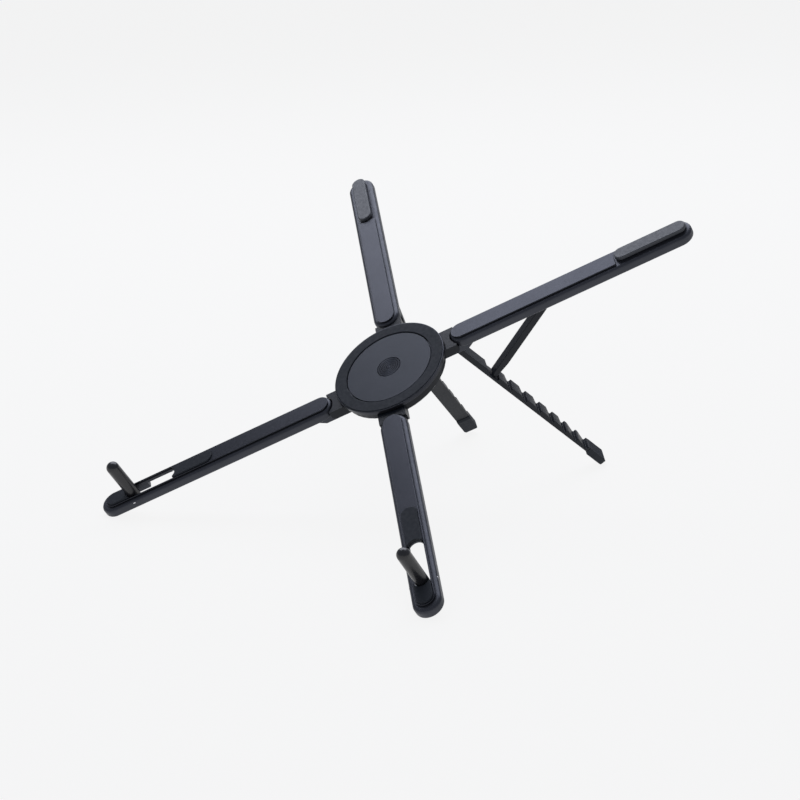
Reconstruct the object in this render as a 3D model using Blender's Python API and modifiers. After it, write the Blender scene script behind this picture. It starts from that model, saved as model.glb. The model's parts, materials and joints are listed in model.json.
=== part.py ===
"""Folding X-shaped laptop stand.

A round hub carries four equal arms that fold down like the ribs of an umbrella.  The two front
arms have flip-up pegs that keep the laptop from sliding off.  The two rear arms each carry a
notched rail leg and a strut, whose tip stands in one of the rail's notches and so sets the height.

The stand is drawn in the plane of its arms, the deck: X to the right, Y to the rear, Z out of the
deck, with the origin in the middle of the hub's top.  The empty "deck" then tilts the whole until
the front tips and the rail feet stand on one table, and sets it down at z = 0.
Every number below is in millimetres or degrees; MM turns millimetres into metres.
"""
import math

import bmesh
import bpy
from mathutils import Matrix, Vector

MM = 0.001
GAP = 0.3                    # air between neighbouring pieces

# arms, all four alike but for their length, measured from beside the middle of the hub
ARM_ANGLE = 45.35            # between each arm and the stand's left-right axis
FRONT_OFFSET = 3.9           # the arms' middle lines pass this far in front of the hub's middle
REAR_OFFSET = 3.2            # and this far behind it
ARM_START = 33.9
FRONT_ARM_END = 165.9
REAR_ARM_END = 164.0
ARM_HALF_WIDTH = 7.1
ARM_BOTTOM = -6.2
SHOULDER = -1.3              # top of the arm's flanks
SHOULDER_ROUND = 1.6
BOTTOM_CHAMFER = 1.0
PLATEAU_HALF_WIDTH = 4.9     # the raised flat strip along the arm
PLATEAU_TOP = -0.3
PLATEAU_START = 34.9
CHANNEL_HALF_WIDTH = 4.35    # the hollow under the arm
REAR_CHANNEL_ROOF = -1.35
FRONT_CHANNEL_ROOF = -2.3
CHANNEL_START = 44.0

# hinge between hub and arm; the rail leg turns on the same pin
HINGE_R = 34.2
HINGE_Z = -7.06
HINGE_PIN_RADIUS = 1.1
KNUCKLE_RADIUS = 2.0
HINGE_BORE_RADIUS = HINGE_PIN_RADIUS + 0.25
CHEEK_OUTER = 5.8            # the arm's two cheeks lie between the channel and this
CHEEK_END = 44.5
WASHER_RADIUS = 1.85
WASHER_THICKNESS = 0.4
FRONT_TONGUE_HALF_WIDTH = 3.3
REAR_TONGUE_HALF_WIDTH = 1.3

# hub
HUB_RADIUS = 30.0
BODY_RADIUS = 28.4
BODY_TOP = -2.7
BODY_BOTTOM = -8.0
BODY_FLOOR = -4.9
BODY_CHAMFER = 1.2
TRAY_RADIUS = 24.6
PLATE_BOTTOM = -2.4
PLATE_FLOOR = -1.3
LIP_INNER_RADIUS = 29.5
LIP_TOP = -0.35
RING_INNER_RADIUS = 23.4
INLAY_RADIUS = 23.0
INLAY_TOP = -0.3
BUTTON_RADIUS = 6.2
COVER_RADIUS = 22.0
COVER_RECESS = 1.9
COVER_THICKNESS = 0.6
SCREW_CIRCLE = 17.0
SCREW_RADIUS = 1.0
SCREW_HEAD_RADIUS = 2.0
SCREW_HEAD_HEIGHT = 0.8
BOSS_RADIUS = 2.4

# brackets on the hub that hold the arm hinges
BRACKET_HALF_WIDTH = 7.2
BRACKET_TOP = -2.5
BRACKET_BOTTOM = -7.8
BRACKET_START, BRACKET_END = 22.0, 36.0
BRACKET_ROOM = CHEEK_OUTER + GAP    # half the width of the room between the bracket's sides
TONGUE_START = 28.9
HORN_BOTTOM = -4.4
HORN_ARC_RADIUS = ARM_HALF_WIDTH + 0.6      # hollows the bracket around the arm's round end

# rail leg
RAIL_ANGLE = 72.3            # below the arm, at the highest setting
RAIL_LENGTH = 119.6
RAIL_HALF_WIDTH = 4.0
RAIL_BACK = -1.6
RAIL_TOP = 1.35
NOTCH_DEPTH = 1.7
NOTCH_COUNT = 8
NOTCH_FIRST = 32.0           # the outer wall of the first notch
NOTCH_SECOND = 42.3
NOTCH_PITCH = 11.7           # from the second notch to the third
NOTCH_PITCH_STEP = -0.6      # each next pitch is this much longer
FIRST_RAMP, FIRST_FLOOR = 3.4, 6.4
RAMP, FLOOR = 4.2, 0.9
LAST_RAMP = 6.4              # the ramps of the two outermost notches
FORK_END = 6.4               # the slot between the rail's two ears
EAR_END = 3.2
EAR_INNER, EAR_OUTER = 1.6, 3.35
FOOT_START = 105.1
FOOT_BACK = -2.6
FOOT_CORNER = 3.0

# strut
STRUT_R = 88.8
STRUT_Z = -3.45
STRUT_HALF_WIDTH = 2.7
STRUT_HALF_HEIGHT = 1.8
STRUT_LENGTH = 54.0
STRUT_PIN_RADIUS = 0.8
STRUT_PIN_HALF_LENGTH = 5.9
REAR_CHANNEL_END = 155.0

# pads on the arms
REAR_PAD_START, REAR_PAD_END = 124.3, 162.0
REAR_PAD_HALF_WIDTH = 3.8
REAR_PAD_TOP = 1.3
FRONT_PAD_START, FRONT_PAD_END = 101.0, 125.0
FRONT_PAD_HALF_WIDTH = 4.1
OUTER_PAD_END = 161.9
FRONT_PAD_TOP = 0.4
PAD_BOTTOM = SHOULDER + GAP
TIP_FOOT_START, TIP_FOOT_END = 153.4, 164.4
TIP_FOOT_HALF_WIDTH = 5.0
TIP_FOOT_TOP = -5.7
TIP_FOOT_BOTTOM = -6.7
FRONT_CHANNEL_END = 125.0    # opens into the peg's slot

# flip-up pegs
PEG_R = 147.7
PEG_Z = -3.0
PEG_RADIUS = 3.3
PEG_LENGTH = 24.6            # from its pin to its tip
PEG_PIN_RADIUS = 0.8
SLOT_HALF_WIDTH = 3.8
SLOT_START = PEG_R - PEG_LENGTH - 0.5
SLOT_END = PEG_R + SLOT_HALF_WIDTH
PAD_SLOT_CLEAR = SLOT_HALF_WIDTH + 0.3      # radius of the hollow ends of the pads at the slot
GRIP_END = 139.5             # a finger reaches the peg through one side, cut away from below
GRIP_TOP = -2.9

ROUND = 48                   # sides of a large round
SMALL_ROUND = 20             # sides of a pin or a hole

for leftover in list(bpy.data.objects):
    bpy.data.objects.remove(leftover, do_unlink=True)

stand = bpy.data.collections.new("laptop_stand")
cutters = bpy.data.collections.new("cutters")
bpy.context.scene.collection.children.link(stand)
bpy.context.scene.collection.children.link(cutters)


# ---------------------------------------------------------------- materials
def material(name, colour, roughness, metallic):
    made = bpy.data.materials.new(name)
    made.use_nodes = True
    shader = made.node_tree.nodes["Principled BSDF"]
    shader.inputs["Base Color"].default_value = (*colour, 1.0)
    shader.inputs["Roughness"].default_value = roughness
    shader.inputs["Metallic"].default_value = metallic
    made.diffuse_color = (*colour, 1.0)
    return made


GRAPHITE = material("graphite_aluminium", (0.050, 0.052, 0.062), 0.45, 0.6)
SATIN = material("satin_inlay", (0.085, 0.088, 0.105), 0.40, 0.7)
DARK_PLASTIC = material("dark_plastic", (0.020, 0.021, 0.025), 0.50, 0.0)
RUBBER = material("soft_rubber", (0.026, 0.028, 0.033), 0.80, 0.0)
STEEL = material("polished_steel", (0.55, 0.55, 0.57), 0.25, 1.0)
DARK_STEEL = material("blackened_steel", (0.06, 0.06, 0.065), 0.35, 0.9)


# ---------------------------------------------------------------- outlines
def arc(centre, radius, start, end, steps):
    """Points on an arc, from the start angle to the end angle, both included."""
    points = []
    for step in range(steps + 1):
        angle = math.radians(start + (end - start) * step / steps)
        points.append((centre[0] + radius * math.cos(angle), centre[1] + radius * math.sin(angle)))
    return points


def stadium(start, end, half_width, steps=10):
    """A strip along X with two round ends."""
    return (arc((end - half_width, 0), half_width, -90, 90, steps)
            + arc((start + half_width, 0), half_width, 90, 270, steps))


def round_start(start, end, half_width, steps=10):
    """A strip along X with a round start and a square end."""
    return ([(end, -half_width), (end, half_width)]
            + arc((start + half_width, 0), half_width, 90, 270, steps))


def round_end(start, end, half_width, steps=10):
    """A strip along X with a square start and a round end."""
    return ([(start, half_width), (start, -half_width)]
            + arc((end - half_width, 0), half_width, -90, 90, steps))


def rectangle(x0, x1, y0, y1):
    return [(x0, y0), (x1, y0), (x1, y1), (x0, y1)]


# ---------------------------------------------------------------- solids
def bare_object(name, mesh):
    made = bpy.data.objects.new(name, mesh)
    stand.objects.link(made)
    return made


def plate(name, outline, low, high, along="z"):
    """A flat outline with a thickness.  Along z the outline lies in X and Y, along y in X and Z."""
    curve = bpy.data.curves.new(name, "CURVE")
    curve.dimensions = "2D"
    curve.fill_mode = "BOTH"
    curve.extrude = (high - low) / 2 * MM
    spline = curve.splines.new("POLY")
    spline.points.add(len(outline) - 1)
    for point, (x, y) in zip(spline.points, outline):
        point.co = (x * MM, y * MM, 0, 1)
    spline.use_cyclic_u = True
    source = bare_object(name + "_outline", curve)
    evaluated = source.evaluated_get(bpy.context.evaluated_depsgraph_get())
    mesh = bpy.data.meshes.new_from_object(evaluated)
    bpy.data.objects.remove(source, do_unlink=True)

    middle = (low + high) / 2 * MM
    place = Matrix.Translation((0, 0, middle))
    if along == "y":
        place = Matrix.Translation((0, middle, 0)) @ Matrix.Rotation(math.radians(90), 4, "X")
    mesh.transform(place)
    edit = bmesh.new()
    edit.from_mesh(mesh)
    bmesh.ops.remove_doubles(edit, verts=edit.verts, dist=1e-6)
    bmesh.ops.dissolve_limit(edit, angle_limit=0.001, verts=edit.verts, edges=edit.edges)
    bmesh.ops.recalc_face_normals(edit, faces=edit.faces)
    edit.to_mesh(mesh)
    edit.free()
    mesh.name = name
    return bare_object(name, mesh)


def round_edges(piece, chosen, width, segments):
    """Bevels the edges of a piece that the test picks out."""
    edit = bmesh.new()
    edit.from_mesh(piece.data)
    edges = [edge for edge in edit.edges if chosen(*[vert.co / MM for vert in edge.verts])]
    bmesh.ops.bevel(edit, geom=edges, offset=width * MM, offset_type="OFFSET", segments=segments,
                    profile=0.5, affect="EDGES", clamp_overlap=True)
    edit.to_mesh(piece.data)
    edit.free()
    return piece


def at_height(height):
    """An edge test: both ends lie at this height."""
    return lambda a, b: abs(a.z - height) < 0.01 and abs(b.z - height) < 0.01


def turned(name, profile, closed=False, steps=ROUND):
    """A profile of (radius, height) points, outer side from top to bottom, turned about Z."""
    mesh = bpy.data.meshes.new(name)
    edges = [(i, i + 1) for i in range(len(profile) - 1)]
    if closed:
        edges.append((len(profile) - 1, 0))
    mesh.from_pydata([(r * MM, 0, z * MM) for r, z in profile], edges, [])
    made = bare_object(name, mesh)
    screw = made.modifiers.new("turn", "SCREW")
    screw.angle = math.tau
    screw.steps = screw.render_steps = steps
    screw.use_merge_vertices = True
    screw.merge_threshold = 0.00001
    return made


def cylinder(name, radius, low, high, along="z", x=0.0, z=0.0, steps=SMALL_ROUND):
    """A cylinder on a line through (x, 0, z), from low to high along that line."""
    edit = bmesh.new()
    bmesh.ops.create_cone(edit, cap_ends=True, segments=steps, radius1=radius * MM,
                          radius2=radius * MM, depth=(high - low) * MM)
    mesh = bpy.data.meshes.new(name)
    edit.to_mesh(mesh)
    edit.free()
    middle = (low + high) / 2 * MM
    place = Matrix.Translation((x * MM, 0, z * MM + middle))
    if along == "y":
        place = (Matrix.Translation((x * MM, middle, z * MM))
                 @ Matrix.Rotation(math.radians(90), 4, "X"))
    mesh.transform(place)
    return bare_object(name, mesh)


def combine(piece, other, operation="DIFFERENCE"):
    """Cuts the other object out of the piece, or joins it on, and puts it with the cutters."""
    stand.objects.unlink(other)
    cutters.objects.link(other)
    other.hide_render = True
    other.display_type = "WIRE"
    if other.parent is None:
        other.parent = piece.parent
    change = piece.modifiers.new(other.name, "BOOLEAN")
    change.operation = operation
    change.solver = "EXACT"
    change.object = other
    return piece


def finish(piece, parent, shader, pivot=None, smooth=True):
    """Gives a piece its parent and material, with its origin on the pivot."""
    piece.parent = parent
    piece.data.materials.clear()
    piece.data.materials.append(shader)
    if pivot is not None:
        shift = Vector(pivot) * MM
        piece.data.transform(Matrix.Translation(-shift))
        piece.location = shift
    if smooth:
        piece.data.shade_smooth()
        if len(piece.data.polygons):
            piece.data.set_sharp_from_angle(angle=math.radians(35))
    return piece


def empty(name, parent=None, location=(0, 0, 0), turn=(0, 0, 0)):
    made = bpy.data.objects.new(name, None)
    made.empty_display_size = 0.01
    made.location = Vector(location) * MM
    made.rotation_euler = [math.radians(angle) for angle in turn]
    made.parent = parent
    stand.objects.link(made)
    return made


# ---------------------------------------------------------------- frames
deck = empty("deck")
FRONT = {"front_left": 180 + ARM_ANGLE, "front_right": -ARM_ANGLE}
REAR = {"rear_left": 180 - ARM_ANGLE, "rear_right": ARM_ANGLE}
arm_frames = {}
for arm_name, arm_azimuth in {**FRONT, **REAR}.items():
    aside = FRONT_OFFSET if arm_name in FRONT else REAR_OFFSET
    if arm_name in ("front_right", "rear_left"):
        aside = -aside
    turn = math.radians(arm_azimuth)
    arm_frames[arm_name] = empty(
        arm_name + "_frame", deck, (-aside * math.sin(turn), aside * math.cos(turn), 0),
        (0, 0, arm_azimuth))


# ---------------------------------------------------------------- hub
def bracket_outline():
    """Side view of a bracket's sides, with the lower outer corner cut away."""
    return [(BRACKET_START, BRACKET_BOTTOM), (BRACKET_END - 1.5, BRACKET_BOTTOM),
            (BRACKET_END, BRACKET_BOTTOM + 1.5), (BRACKET_END, BRACKET_TOP),
            (BRACKET_START, BRACKET_TOP)]


def knuckle_room_outline():
    """Side view of the room inside a bracket that clears the hinge knuckle."""
    clear = KNUCKLE_RADIUS + GAP + 0.1
    high_angle = math.degrees(math.acos(-0.5 / clear))
    return ([(BRACKET_END + 2, BRACKET_BOTTOM - 3), (HINGE_R - clear, BRACKET_BOTTOM - 3)]
            + arc((HINGE_R, HINGE_Z), clear, 180, high_angle, 8)
            + [(HINGE_R - 0.5, HORN_BOTTOM), (BRACKET_END + 2, HORN_BOTTOM)])


def tongue_outline():
    """Side view of the tongue that carries the hinge pin."""
    low = BRACKET_BOTTOM + 0.2
    return (arc((HINGE_R, HINGE_Z), KNUCKLE_RADIUS, -90, 90, 8)
            + [(TONGUE_START, HINGE_Z + KNUCKLE_RADIUS), (TONGUE_START, low),
               (HINGE_R - 2.2, low)])


def rail_relief_outline():
    """Side view of the room under a rear bracket for the rail, when the arm is folded down."""
    lowest = 180 - (RAIL_ANGLE + 90)
    slope = math.tan(math.radians(lowest))
    rise = (-RAIL_BACK + GAP + 0.1) / math.cos(math.radians(lowest))
    near, far = HINGE_R, 20.0
    return [(near, HINGE_Z - 6), (near, HINGE_Z + rise),
            (far, HINGE_Z + rise - slope * (near - far)), (far, HINGE_Z - 6)]


def make_hub_body():
    body = turned("hub_body", [
        (0, BODY_TOP + 0.2), (BODY_RADIUS, BODY_TOP + 0.2),
        (BODY_RADIUS, BODY_BOTTOM + BODY_CHAMFER), (BODY_RADIUS - BODY_CHAMFER, BODY_BOTTOM),
        (COVER_RADIUS + GAP, BODY_BOTTOM),
        (COVER_RADIUS + GAP, BODY_BOTTOM + COVER_RECESS), (0, BODY_BOTTOM + COVER_RECESS)])
    body.parent = deck
    under_plate = cylinder("space_under_plate", HUB_RADIUS + GAP + 0.1, BODY_TOP, 1, steps=ROUND)
    tray = cylinder("tray_hollow", TRAY_RADIUS, BODY_FLOOR, 1, steps=ROUND)
    under_plate.parent = tray.parent = deck
    for name, frame in arm_frames.items():
        block = plate("bracket_" + name, bracket_outline(), -BRACKET_HALF_WIDTH,
                      BRACKET_HALF_WIDTH, "y")
        hollow = cylinder("horn_arc_" + name, HORN_ARC_RADIUS, BODY_BOTTOM - 3, 1,
                          x=ARM_START + ARM_HALF_WIDTH, steps=ROUND)
        room = plate("knuckle_room_" + name, knuckle_room_outline(), -BRACKET_ROOM,
                     BRACKET_ROOM, "y")
        block.parent = hollow.parent = room.parent = frame
        combine(block, hollow)
        combine(block, room)
        combine(body, block, "UNION")
    combine(body, under_plate)
    combine(body, tray)
    for name, frame in arm_frames.items():
        half_width = FRONT_TONGUE_HALF_WIDTH
        if name in REAR:
            half_width = REAR_TONGUE_HALF_WIDTH
            relief = plate("relief_" + name, rail_relief_outline(), -RAIL_HALF_WIDTH - 0.4,
                           RAIL_HALF_WIDTH + 0.4, "y")
            relief.parent = frame
            combine(body, relief)
        tongue = plate("tongue_" + name, tongue_outline(), -half_width, half_width, "y")
        bore = cylinder("tongue_bore_" + name, HINGE_BORE_RADIUS, -8, 8, "y", HINGE_R, HINGE_Z)
        tongue.parent = bore.parent = frame
        combine(tongue, bore)
        combine(body, tongue, "UNION")
    for number in range(4):
        turn = Matrix.Rotation(math.radians(90 * number), 4, "Z")
        place = turn @ Vector((SCREW_CIRCLE, 0, 0))
        bore = cylinder("screw_bore_%d" % (number + 1), SCREW_RADIUS + GAP, -10, BODY_FLOOR + 1)
        bore.parent = deck
        bore.location = place * MM
        combine(body, bore)
    return finish(body, deck, DARK_PLASTIC)


def make_hub_top_plate():
    plate_piece = turned("hub_top_plate", [
        (0, PLATE_FLOOR), (LIP_INNER_RADIUS, PLATE_FLOOR), (LIP_INNER_RADIUS, LIP_TOP),
        (HUB_RADIUS - 0.25, LIP_TOP), (HUB_RADIUS, LIP_TOP - 0.25),
        (HUB_RADIUS, PLATE_BOTTOM + 0.4), (HUB_RADIUS - 0.4, PLATE_BOTTOM), (0, PLATE_BOTTOM)],
        steps=64)
    plate_piece.parent = deck
    for number in range(4):
        turn = Matrix.Rotation(math.radians(90 * number), 4, "Z")
        place = turn @ Vector((SCREW_CIRCLE, 0, 0)) * MM
        boss = cylinder("boss_%d" % (number + 1), BOSS_RADIUS, BODY_FLOOR + GAP,
                        PLATE_BOTTOM + 0.4)
        bore = cylinder("boss_bore_%d" % (number + 1), SCREW_RADIUS + 0.2, -8, PLATE_BOTTOM + 0.3)
        for tool, operation in ((boss, "UNION"), (bore, "DIFFERENCE")):
            tool.parent = deck
            tool.location = place
            combine(plate_piece, tool, operation)
    return finish(plate_piece, deck, GRAPHITE)


def make_hub():
    make_hub_body()
    make_hub_top_plate()
    outer = LIP_INNER_RADIUS - GAP
    ring = turned("hub_ring_pad", [
        (RING_INNER_RADIUS + 0.3, 0), (outer - 0.3, 0), (outer, -0.3), (outer, PLATE_FLOOR + GAP),
        (RING_INNER_RADIUS, PLATE_FLOOR + GAP), (RING_INNER_RADIUS, -0.3)], closed=True, steps=64)
    finish(ring, deck, RUBBER)
    hole = BUTTON_RADIUS + GAP
    inlay = turned("hub_inlay_disc", [
        (hole, INLAY_TOP), (INLAY_RADIUS - 0.2, INLAY_TOP), (INLAY_RADIUS, INLAY_TOP - 0.2),
        (INLAY_RADIUS, PLATE_FLOOR + GAP), (hole, PLATE_FLOOR + GAP)], closed=True, steps=64)
    finish(inlay, deck, SATIN)
    button = turned("hub_button", [
        (0, INLAY_TOP - 0.1), (BUTTON_RADIUS - 0.4, INLAY_TOP), (BUTTON_RADIUS, INLAY_TOP - 0.2),
        (BUTTON_RADIUS, PLATE_FLOOR + GAP), (0, PLATE_FLOOR + GAP)], steps=32)
    finish(button, deck, DARK_STEEL)
    cover_low = BODY_BOTTOM - 0.1
    cover_high = cover_low + COVER_THICKNESS
    cover = turned("hub_bottom_cover", [
        (0, cover_high), (COVER_RADIUS, cover_high), (COVER_RADIUS, cover_low + 0.2),
        (COVER_RADIUS - 0.3, cover_low), (0, cover_low)])
    finish(cover, deck, RUBBER)
    head_top = BODY_BOTTOM + COVER_RECESS - GAP
    head_bottom = head_top - SCREW_HEAD_HEIGHT
    for number in range(4):
        screw = turned("hub_screw_%d" % (number + 1), [
            (0, PLATE_BOTTOM - GAP), (SCREW_RADIUS, PLATE_BOTTOM - GAP), (SCREW_RADIUS, head_top),
            (SCREW_HEAD_RADIUS, head_top), (SCREW_HEAD_RADIUS, head_bottom + 0.3),
            (SCREW_HEAD_RADIUS - 0.4, head_bottom), (0, head_bottom)], steps=SMALL_ROUND)
        finish(screw, deck, DARK_STEEL)
        turn = Matrix.Rotation(math.radians(90 * number), 4, "Z")
        screw.location = turn @ Vector((SCREW_CIRCLE, 0, 0)) * MM


make_hub()


# ---------------------------------------------------------------- arms
HINGE = (HINGE_R, 0, HINGE_Z)


def cheek_outline():
    """Side view of the cheeks under the arm that the hinge pin runs through."""
    return (arc((HINGE_R, HINGE_Z), KNUCKLE_RADIUS, 90, 270, 10)
            + [(HINGE_R + 6, HINGE_Z - KNUCKLE_RADIUS), (CHEEK_END, ARM_BOTTOM + 0.1),
               (CHEEK_END, ARM_BOTTOM + 1.2), (HINGE_R + 1.8, ARM_BOTTOM + 1.2),
               (HINGE_R + 0.8, HINGE_Z + KNUCKLE_RADIUS)])


def make_arm(name, frame, end, channel_end, channel_roof, plateau_outline, tools):
    """One arm: a flat bar with round ends, the raised plateau, the hollow and the two cheeks."""
    arm = plate(name + "_arm", stadium(ARM_START, end, ARM_HALF_WIDTH), ARM_BOTTOM, SHOULDER)
    round_edges(arm, at_height(SHOULDER), SHOULDER_ROUND, 3)
    round_edges(arm, at_height(ARM_BOTTOM), BOTTOM_CHAMFER, 1)
    arm.parent = frame
    combine(arm, plate(name + "_plateau", plateau_outline, SHOULDER - 0.3, PLATEAU_TOP), "UNION")
    for side in (-1, 1):
        low, high = sorted((side * (CHANNEL_HALF_WIDTH - 0.1), side * CHEEK_OUTER))
        cheek = plate("%s_cheek_%d" % (name, side), cheek_outline(), low, high, "y")
        combine(arm, cheek, "UNION")
    hollow = plate(name + "_hollow", rectangle(CHANNEL_START, channel_end, -CHANNEL_HALF_WIDTH,
                                               CHANNEL_HALF_WIDTH), -12, channel_roof)
    combine(arm, hollow)
    mouth = plate(name + "_mouth", rectangle(HINGE_R - 6, CHANNEL_START + 0.1,
                                             -CHANNEL_HALF_WIDTH, CHANNEL_HALF_WIDTH),
                  -12, HINGE_Z + KNUCKLE_RADIUS + GAP)
    combine(arm, mouth)
    bore = cylinder(name + "_hinge_bore", HINGE_BORE_RADIUS, -8, 8, "y", HINGE_R, HINGE_Z)
    combine(arm, bore)
    for tool in tools:
        combine(arm, tool)
    finish(arm, frame, GRAPHITE, pivot=HINGE)


def pin(name, frame, radius, half_length, r, z, shader):
    piece = cylinder(name, radius, -half_length, half_length, "y", r, z)
    finish(piece, frame, shader, pivot=(r, 0, z))


def make_hinge(name, frame):
    """The arm's hinge pin and the friction washers inside its cheeks."""
    pin(name + "_arm_pin", frame, HINGE_PIN_RADIUS, CHEEK_OUTER - 0.2, HINGE_R, HINGE_Z,
        DARK_STEEL)
    inner = EAR_OUTER + 0.25
    for label, side in (("near", -1), ("far", 1)):
        washer = turned("%s_washer_%s" % (name, label), [
            (WASHER_RADIUS, WASHER_THICKNESS), (WASHER_RADIUS, 0),
            (HINGE_PIN_RADIUS + 0.2, 0), (HINGE_PIN_RADIUS + 0.2, WASHER_THICKNESS)],
            closed=True, steps=16)
        finish(washer, frame, DARK_STEEL)
        washer.rotation_euler = (math.radians(90), 0, 0)
        offset = side * inner if side < 0 else inner + WASHER_THICKNESS
        washer.location = Vector((HINGE_R, offset, HINGE_Z)) * MM


def make_front_pad(name, frame, outline):
    """A pad in the bed on a front arm, hollowed where the peg's slot begins or ends."""
    pad = plate(name, outline, PAD_BOTTOM, FRONT_PAD_TOP)
    round_edges(pad, at_height(FRONT_PAD_TOP), 0.3, 1)
    pad.parent = frame
    around_slot = stadium(SLOT_START - GAP, PEG_R + PAD_SLOT_CLEAR, PAD_SLOT_CLEAR)
    combine(pad, plate(name + "_notch", around_slot, -4, 3))
    finish(pad, frame, RUBBER)


def make_front_arm(name, frame):
    plateau_end = OUTER_PAD_END + PLATEAU_HALF_WIDTH - FRONT_PAD_HALF_WIDTH
    slot = plate(name + "_slot", stadium(SLOT_START, SLOT_END, SLOT_HALF_WIDTH), -12, 3)
    pin_bore = cylinder(name + "_peg_bore", PEG_PIN_RADIUS + 0.25, -9, 9, "y", PEG_R, PEG_Z)
    pad_bed = plate(name + "_pad_bed", stadium(FRONT_PAD_START - GAP, OUTER_PAD_END + GAP,
                                               FRONT_PAD_HALF_WIDTH + GAP), SHOULDER, 3)
    foot_bed = plate(name + "_foot_bed", stadium(TIP_FOOT_START - GAP, TIP_FOOT_END + GAP,
                                                 TIP_FOOT_HALF_WIDTH + GAP), -12,
                     TIP_FOOT_TOP + GAP)
    grip = plate(name + "_grip", rectangle(SLOT_START, GRIP_END, -ARM_HALF_WIDTH - 1, -2), -12,
                 GRIP_TOP)
    make_arm(name, frame, FRONT_ARM_END, FRONT_CHANNEL_END, FRONT_CHANNEL_ROOF,
             stadium(PLATEAU_START, plateau_end, PLATEAU_HALF_WIDTH),
             [pad_bed, slot, grip, foot_bed, pin_bore])

    make_front_pad(name + "_pad_inner", frame, round_start(
        FRONT_PAD_START, FRONT_PAD_END, FRONT_PAD_HALF_WIDTH))
    make_front_pad(name + "_pad_outer", frame, round_end(
        PEG_R, OUTER_PAD_END, FRONT_PAD_HALF_WIDTH))
    foot = plate(name + "_foot", stadium(TIP_FOOT_START, TIP_FOOT_END, TIP_FOOT_HALF_WIDTH),
                 TIP_FOOT_BOTTOM, TIP_FOOT_TOP)
    finish(foot, frame, RUBBER)

    peg = turned(name + "_peg", arc((0, PEG_LENGTH - PEG_RADIUS), PEG_RADIUS, 90, 0, 6)
                 + arc((0, 0), PEG_RADIUS, 0, -90, 6), steps=24)
    peg.parent = frame
    peg.location = Vector((PEG_R, 0, PEG_Z)) * MM
    peg_bore = cylinder(name + "_peg_hole", PEG_PIN_RADIUS + 0.25, -4, 4, "y", PEG_R, PEG_Z)
    combine(peg, peg_bore)
    finish(peg, frame, DARK_PLASTIC)
    pin(name + "_peg_pin", frame, PEG_PIN_RADIUS, ARM_HALF_WIDTH - 0.1, PEG_R, PEG_Z, STEEL)


# ---------------------------------------------------------------- rail legs
def notch_walls():
    """Where each notch's outer wall stands along the rail; the pitch shrinks outwards."""
    walls = [NOTCH_FIRST, NOTCH_SECOND]
    for number in range(NOTCH_COUNT - 2):
        walls.append(walls[-1] + NOTCH_PITCH + NOTCH_PITCH_STEP * number)
    return walls


def rail_outline():
    """Side view of the folded rail: ear, notched upper side, flat back."""
    floor = RAIL_TOP - NOTCH_DEPTH
    points = arc((0, 0), KNUCKLE_RADIUS, 270, 60, 8)
    points.append((EAR_END, RAIL_TOP))
    walls = notch_walls()
    for number, wall in enumerate(walls):
        ramp, flat = RAMP, FLOOR
        if number == 0:
            ramp, flat = FIRST_RAMP, FIRST_FLOOR
        elif number >= NOTCH_COUNT - 2:
            ramp = LAST_RAMP
        points += [(wall - flat - ramp, RAIL_TOP), (wall - flat, floor), (wall, floor),
                   (wall, RAIL_TOP)]
    end = FOOT_START - GAP
    return points + [(end, RAIL_TOP), (end, RAIL_BACK), (EAR_END, RAIL_BACK)]


def rail_plan():
    """Plan view of the rail: two ears around the tongue, then the full width."""
    end = FOOT_START + 1
    return [(-3, EAR_INNER), (-3, EAR_OUTER), (EAR_END, EAR_OUTER), (EAR_END, RAIL_HALF_WIDTH),
            (end, RAIL_HALF_WIDTH), (end, -RAIL_HALF_WIDTH), (EAR_END, -RAIL_HALF_WIDTH),
            (EAR_END, -EAR_OUTER), (-3, -EAR_OUTER), (-3, -EAR_INNER), (FORK_END, -EAR_INNER),
            (FORK_END, EAR_INNER)]


def foot_outline():
    """Side view of the rubber foot: thicker than the rail, with a slanted end."""
    return [(FOOT_START, FOOT_BACK + 0.8), (FOOT_START + 1.2, FOOT_BACK),
            (RAIL_LENGTH - 1.0, FOOT_BACK), (RAIL_LENGTH, FOOT_BACK + 1.0),
            (RAIL_LENGTH - 0.6, RAIL_TOP - 1.0), (RAIL_LENGTH - 2.6, RAIL_TOP),
            (FOOT_START, RAIL_TOP)]


def foot_plan():
    """Plan view of the rubber foot, with round corners at its free end."""
    corner = RAIL_LENGTH - FOOT_CORNER
    side = RAIL_HALF_WIDTH - FOOT_CORNER
    return ([(FOOT_START - 1, -RAIL_HALF_WIDTH)]
            + arc((corner, -side), FOOT_CORNER, -90, 0, 5)
            + arc((corner, side), FOOT_CORNER, 0, 90, 5)
            + [(FOOT_START - 1, RAIL_HALF_WIDTH)])


def strut_outline():
    """Side view of the folded strut: a round eye, a flat bar and a tip cut to stand on the rail."""
    slant = STRUT_HALF_HEIGHT / math.tan(math.radians(RAIL_ANGLE))
    return (arc((0, 0), STRUT_HALF_HEIGHT, 90, 270, 8)
            + [(STRUT_LENGTH - slant, -STRUT_HALF_HEIGHT),
               (STRUT_LENGTH + slant * 0.4, STRUT_HALF_HEIGHT * 0.4),
               (STRUT_LENGTH - 10, STRUT_HALF_HEIGHT)])


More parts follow.
